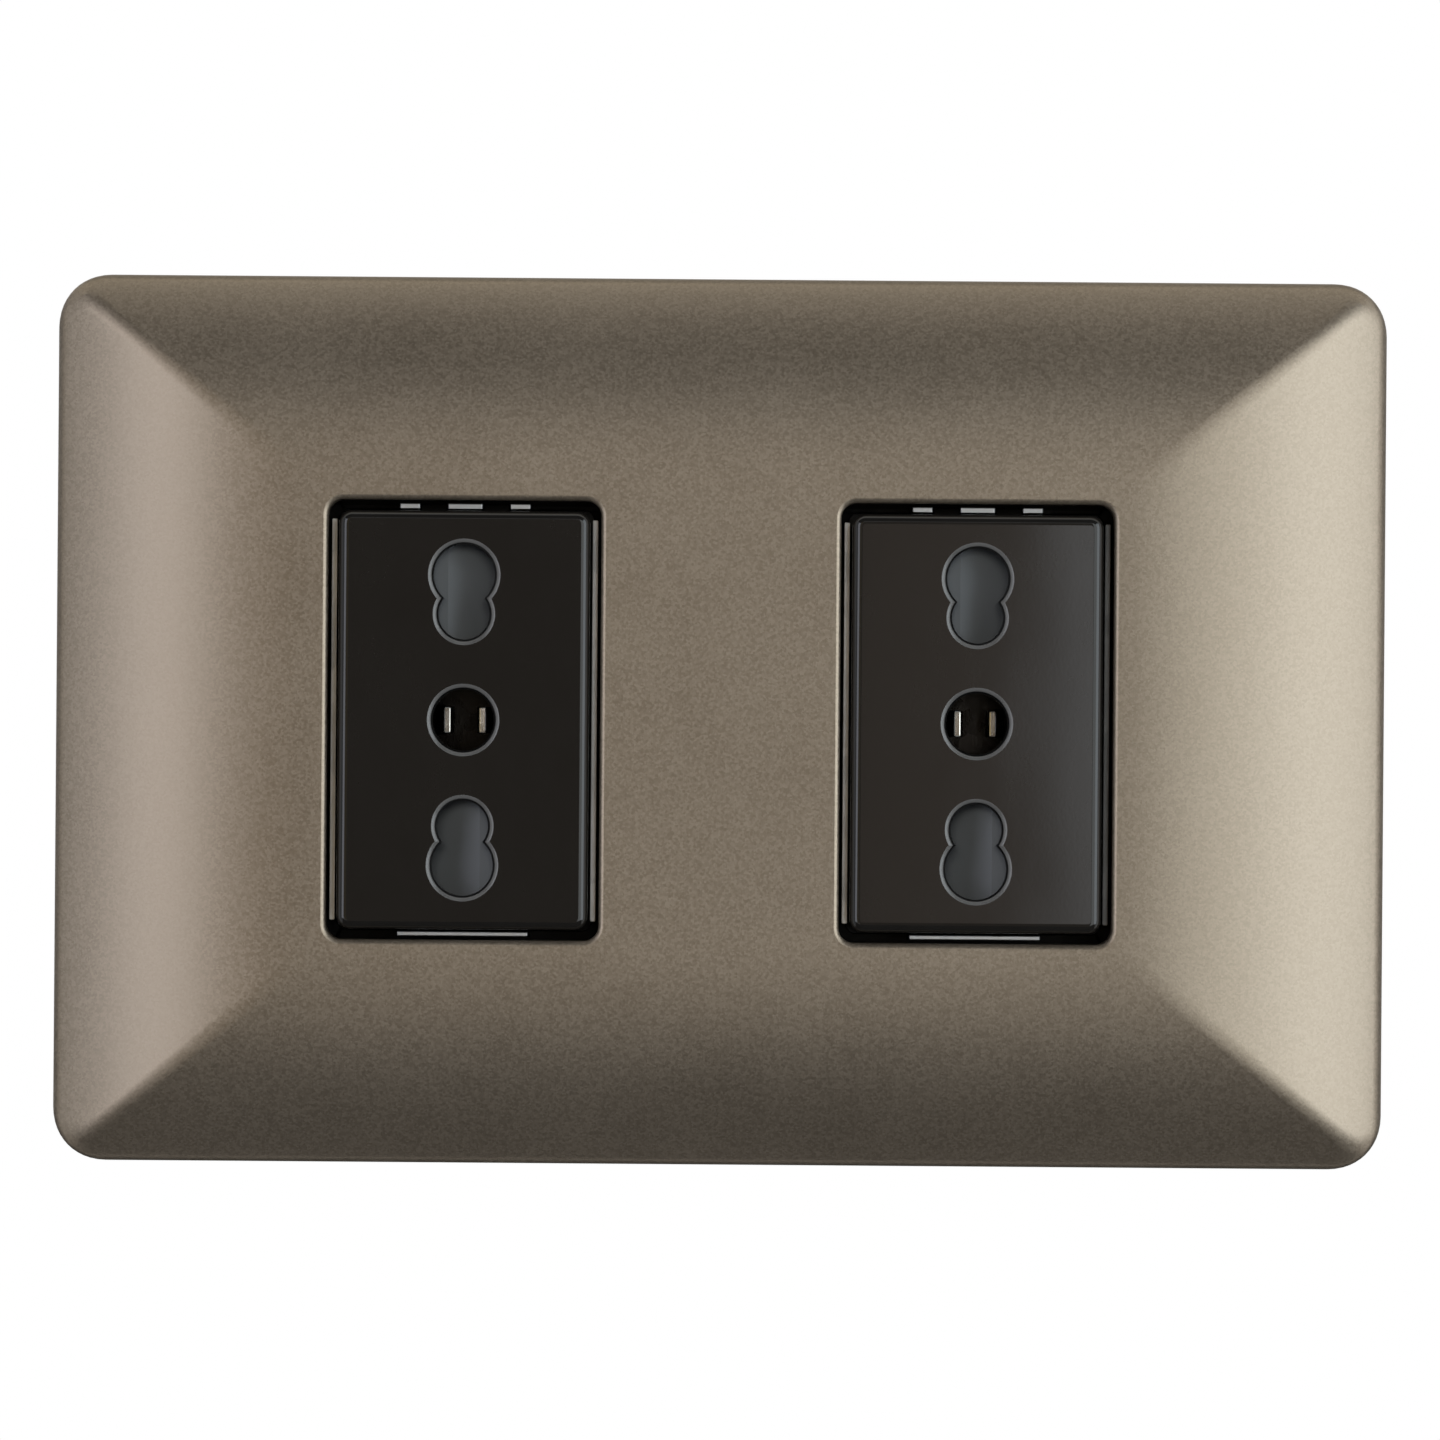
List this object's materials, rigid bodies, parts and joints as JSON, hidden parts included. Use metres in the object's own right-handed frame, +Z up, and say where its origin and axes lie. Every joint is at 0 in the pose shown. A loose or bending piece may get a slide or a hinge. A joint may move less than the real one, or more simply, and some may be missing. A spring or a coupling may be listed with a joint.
{
  "type": "double wall socket",
  "caption": "Rectangular pillow-shaped wall plate over a steel frame that carries shuttered dual-gauge in-line socket modules with screw terminals.",
  "frame": {"origin": "middle of the plate on the wall plane, half way between the two box screws", "axes": "+X to the viewer's right along the plate, +Z up, the front faces -Y and the modules reach +Y into the box"},
  "size_m": [0.12, 0.0265, 0.08],
  "materials": {
    "plate_paint": "satin metallic pewter paint with fine flake on a moulded plate",
    "module_black": "glossy brown-black moulded plastic",
    "shutter_grey": "satin dark grey moulded plastic",
    "block_black": "fine spark-eroded matt black moulded plastic",
    "zinc_steel": "bright zinc-plated pressed steel",
    "contact_metal": "tin-plated bronze strip",
    "screw_steel": "yellow-zinc plated steel",
    "spring_steel": "bare spring wire"
  },
  "bodies": {
    "root": {"cover_plate": "plate_paint", "mounting_frame": "zinc_steel", "left_front_housing": "module_black", "left_shutter_spring": "spring_steel", "left_rear_housing": "block_black", "left_upper_contact": "contact_metal", "left_lower_contact": "contact_metal", "left_earth_contact": "contact_metal", "left_upper_clamp_plate": "zinc_steel", "left_lower_clamp_plate": "zinc_steel", "left_earth_clamp_plate": "zinc_steel", "left_terminal_screws": "screw_steel", "right_front_housing": "module_black", "right_shutter_spring": "spring_steel", "right_rear_housing": "block_black", "right_upper_contact": "contact_metal", "right_lower_contact": "contact_metal", "right_earth_contact": "contact_metal", "right_upper_clamp_plate": "zinc_steel", "right_lower_clamp_plate": "zinc_steel", "right_earth_clamp_plate": "zinc_steel", "right_terminal_screws": "screw_steel"},
    "left_shutter": {"left_shutter": "shutter_grey"},
    "right_shutter": {"right_shutter": "shutter_grey"}
  },
  "joints": [
    {"name": "left_shutter_turn", "type": "hinge", "parent": "root", "child": "left_shutter", "pos_m": [-0.023, 0, 0], "axis": [0, -1, 0], "range_deg": [0, 30], "stiffness_Nm_per_rad": 0.002, "springref_deg": -17.19, "deforming": ["left_shutter_spring"]},
    {"name": "right_shutter_turn", "type": "hinge", "parent": "root", "child": "right_shutter", "pos_m": [0.023, 0, 0], "axis": [0, -1, 0], "range_deg": [0, 30], "stiffness_Nm_per_rad": 0.002, "springref_deg": -17.19, "deforming": ["right_shutter_spring"]}
  ]
}
